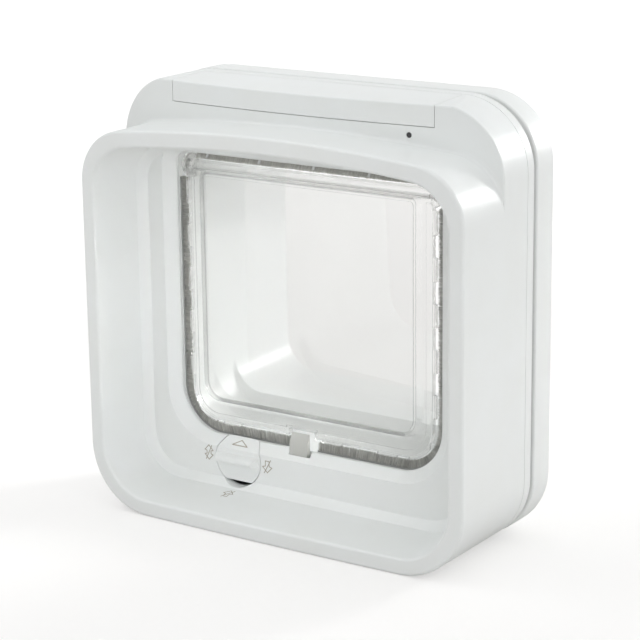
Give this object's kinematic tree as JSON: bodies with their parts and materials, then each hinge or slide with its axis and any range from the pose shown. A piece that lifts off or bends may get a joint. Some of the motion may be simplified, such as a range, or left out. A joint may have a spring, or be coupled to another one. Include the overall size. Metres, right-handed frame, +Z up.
{
  "type": "cat flap",
  "caption": "Square white cat flap for a door: deep hooded inner unit, clear flap hung from the top, driven latches, lock dial, battery cover, through tunnel and outer frame.",
  "frame": {"origin": "middle of the door cut-out, on the face of the inner unit that lies on the door", "axes": "+X to the right seen from inside the house, +Y out through the door, +Z up"},
  "size_m": [0.21, 0.1278, 0.21],
  "materials": {
    "housing_white": "satin",
    "frame_white": "satin",
    "tunnel_white": "satin",
    "clear_flap": "clear polished",
    "clear_rail": "clear polished",
    "brush_grey": "bristle pile",
    "latch_grey": "satin",
    "gear_white": "satin",
    "motor_steel": "plated",
    "dial_white": "satin",
    "inner_grey": "moulded",
    "spring_steel": "plated",
    "cell_jacket": "printed sleeve",
    "board_green": "solder mask",
    "chip_black": "moulded",
    "screw_steel": "plated",
    "lamp_dark": "tinted lens",
    "button_grey": "satin",
    "coil_copper": "enamelled copper",
    "insert_brass": "turned"
  },
  "bodies": {
    "inner_unit": {"front_housing": "housing_white", "back_plate": "housing_white", "outer_frame": "frame_white", "tunnel": "tunnel_white", "top_brush_rail": "clear_rail", "draught_brush": "brush_grey", "top_brush": "brush_grey", "entry_motor": "motor_steel", "exit_motor": "motor_steel", "dial_carrier": "inner_grey", "detent_spring": "spring_steel", "battery_tray": "inner_grey", "aa_cells": "cell_jacket", "battery_plates": "spring_steel", "battery_springs": "spring_steel", "control_board": "board_green", "board_components": "chip_black", "board_screws": "screw_steel", "status_lamp": "lamp_dark", "learn_switch": "chip_black", "antenna_coil": "coil_copper", "housing_screws": "screw_steel", "threaded_inserts": "insert_brass", "fixing_screws": "screw_steel", "screw_caps": "frame_white"},
    "flap": {"flap_panel": "clear_flap"},
    "lock_dial": {"lock_dial": "dial_white", "dial_cam": "gear_white"},
    "entry_latch": {"entry_latch": "latch_grey"},
    "exit_latch": {"exit_latch": "latch_grey"},
    "entry_pinion": {"entry_pinion": "gear_white"},
    "exit_pinion": {"exit_pinion": "gear_white"},
    "battery_cover": {"battery_cover": "housing_white"},
    "learn_button": {"learn_button": "button_grey"}
  },
  "joints": [
    {"name": "flap_swing", "type": "hinge", "parent": "inner_unit", "child": "flap", "pos_m": [0, -0.0215, 0.0622], "axis": [1, 0, 0], "range_deg": [-70, 80]},
    {"name": "dial_turn", "type": "hinge", "parent": "inner_unit", "child": "lock_dial", "pos_m": [-0.0378, -0.03, -0.0787], "axis": [0, 1, 0], "continuous": true},
    {"name": "entry_latch_slide", "type": "slide", "parent": "inner_unit", "child": "entry_latch", "axis": [0, 0, 1], "range_m": [-0.003, 0.004]},
    {"name": "exit_latch_slide", "type": "slide", "parent": "inner_unit", "child": "exit_latch", "axis": [0, 0, 1], "range_m": [0, 0.008]},
    {"name": "entry_pinion_spin", "type": "hinge", "parent": "inner_unit", "child": "entry_pinion", "pos_m": [-0.0041, -0.0211, -0.09], "axis": [1, 0, 0], "range_deg": [-50, 40]},
    {"name": "exit_pinion_spin", "type": "hinge", "parent": "inner_unit", "child": "exit_pinion", "pos_m": [0.039, -0.0133, -0.086], "axis": [1, 0, 0], "range_deg": [-95, 5]},
    {"name": "battery_cover_lift", "type": "slide", "parent": "inner_unit", "child": "battery_cover", "axis": [0, 0, 1], "range_m": [0, 0.04]},
    {"name": "learn_button_press", "type": "slide", "parent": "inner_unit", "child": "learn_button", "axis": [0, 0, -1], "range_m": [0, 0.0008], "stiffness_N_per_m": 1500}
  ],
  "couplings": [
    {"joint": "entry_pinion_spin", "follows": "entry_latch_slide", "rad_per_m": -200},
    {"joint": "exit_pinion_spin", "follows": "exit_latch_slide", "rad_per_m": -200}
  ]
}
